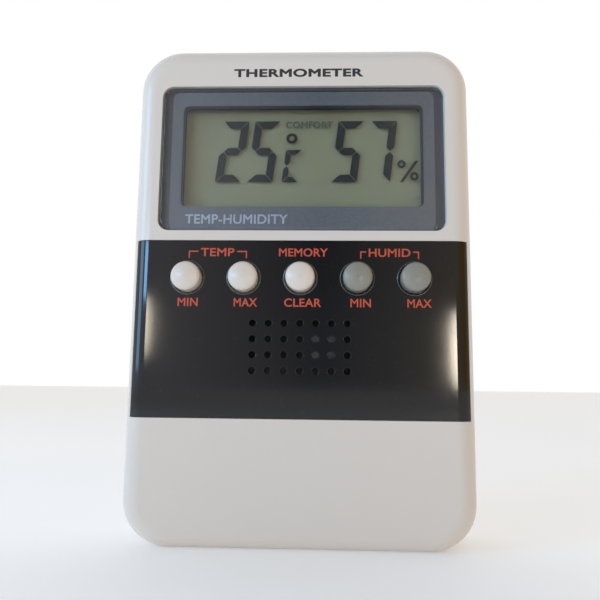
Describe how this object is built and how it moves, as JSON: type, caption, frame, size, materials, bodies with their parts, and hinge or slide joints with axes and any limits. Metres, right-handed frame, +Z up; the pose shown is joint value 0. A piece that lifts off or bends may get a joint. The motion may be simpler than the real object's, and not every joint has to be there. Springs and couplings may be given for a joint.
{
  "type": "maximum minimum thermometer",
  "caption": "Upright pocket-size digital thermometer and hygrometer with minimum and maximum memory, push buttons, vented sensor, wire stand and hanging keyhole.",
  "frame": {"origin": "middle of the flat bottom that the meter stands on", "axes": "+Z up along the height, +Y from the display face to the back, +X to the right of a person facing the display"},
  "size_m": [0.073, 0.0222, 0.108],
  "materials": {
    "case_plastic": "glossy warm white ABS",
    "band_plastic": "glossy charcoal ABS",
    "lens_clear": "clear acrylic",
    "tape_black": "black foam adhesive tape",
    "foam_black": "black foam",
    "mask_print": "blue-grey ink",
    "lcd_film": "satin polarizer film",
    "lcd_glass": "display glass",
    "lcd_reflector": "satin grey-green reflector",
    "inner_plastic": "moulded plastic",
    "zebra_rubber": "layered silicone",
    "board": "green solder mask on glass laminate",
    "keypad_rubber": "translucent grey silicone",
    "carbon_rubber": "carbon-filled silicone",
    "screw_steel": "zinc plated",
    "potting": "black epoxy",
    "can_metal": "bare can",
    "ceramic_chip": "fired ceramic",
    "sensor_epoxy": "black epoxy bead",
    "sensor_plastic": "white slotted cage",
    "cell": "plain wrapped cell",
    "contact_metal": "nickel plated",
    "wire_red": "PVC insulation",
    "wire_black": "PVC insulation",
    "bail_steel": "polished nickel plated wire",
    "button_white": "warm white ABS",
    "button_grey": "grey ABS"
  },
  "bodies": {
    "case": {"band_panel": "band_plastic", "battery": "cell", "battery_contact": "contact_metal", "battery_spring": "contact_metal", "battery_wire_negative": "wire_black", "battery_wire_positive": "wire_red", "board_screws": "screw_steel", "case_screws": "screw_steel", "chip_capacitors": "ceramic_chip", "chip_resistors": "ceramic_chip", "controller_blob": "potting", "crystal": "can_metal", "filter_capacitor": "can_metal", "front_case": "case_plastic", "humidity_sensor": "sensor_plastic", "lcd_front_glass": "lcd_glass", "lcd_front_polarizer": "lcd_film", "lcd_gasket": "foam_black", "lcd_holder": "inner_plastic", "lcd_rear_glass": "lcd_glass", "lcd_reflector": "lcd_reflector", "lens": "lens_clear", "lens_mask": "mask_print", "lens_tape": "tape_black", "main_board": "board", "rear_case": "case_plastic", "rubber_keypad": "keypad_rubber", "switch_body": "can_metal", "thermistor": "sensor_epoxy", "zebra_strip": "zebra_rubber"},
    "battery_door": {"battery_door": "case_plastic"},
    "button_clear": {"button_clear": "button_white", "carbon_pill_clear": "carbon_rubber"},
    "button_humidity_max": {"button_humidity_max": "button_grey", "carbon_pill_humidity_max": "carbon_rubber"},
    "button_humidity_min": {"button_humidity_min": "button_grey", "carbon_pill_humidity_min": "carbon_rubber"},
    "button_temp_max": {"button_temp_max": "button_white", "carbon_pill_temp_max": "carbon_rubber"},
    "button_temp_min": {"button_temp_min": "button_white", "carbon_pill_temp_min": "carbon_rubber"},
    "stand_bail": {"stand_bail": "bail_steel"},
    "unit_switch": {"unit_switch": "button_grey"}
  },
  "joints": [
    {"name": "press_temp_min", "type": "slide", "parent": "case", "child": "button_temp_min", "axis": [0, 1, 0], "range_m": [0, 0.001], "stiffness_N_per_m": 400, "deforming": ["rubber_keypad"]},
    {"name": "press_temp_max", "type": "slide", "parent": "case", "child": "button_temp_max", "axis": [0, 1, 0], "range_m": [0, 0.001], "stiffness_N_per_m": 400, "deforming": ["rubber_keypad"]},
    {"name": "press_clear", "type": "slide", "parent": "case", "child": "button_clear", "axis": [0, 1, 0], "range_m": [0, 0.001], "stiffness_N_per_m": 400, "deforming": ["rubber_keypad"]},
    {"name": "press_humidity_min", "type": "slide", "parent": "case", "child": "button_humidity_min", "axis": [0, 1, 0], "range_m": [0, 0.001], "stiffness_N_per_m": 400, "deforming": ["rubber_keypad"]},
    {"name": "press_humidity_max", "type": "slide", "parent": "case", "child": "button_humidity_max", "axis": [0, 1, 0], "range_m": [0, 0.001], "stiffness_N_per_m": 400, "deforming": ["rubber_keypad"]},
    {"name": "stand_swing", "type": "hinge", "parent": "case", "child": "stand_bail", "pos_m": [0, 0.0084, 0.058], "axis": [1, 0, 0], "range_deg": [0, 50]},
    {"name": "battery_door_swing", "type": "hinge", "parent": "case", "child": "battery_door", "pos_m": [0, 0.0095, 0.0254], "axis": [1, 0, 0], "range_deg": [0, 80]},
    {"name": "unit_slide", "type": "slide", "parent": "case", "child": "unit_switch", "axis": [1, 0, 0], "range_m": [0, 0.002]}
  ]
}
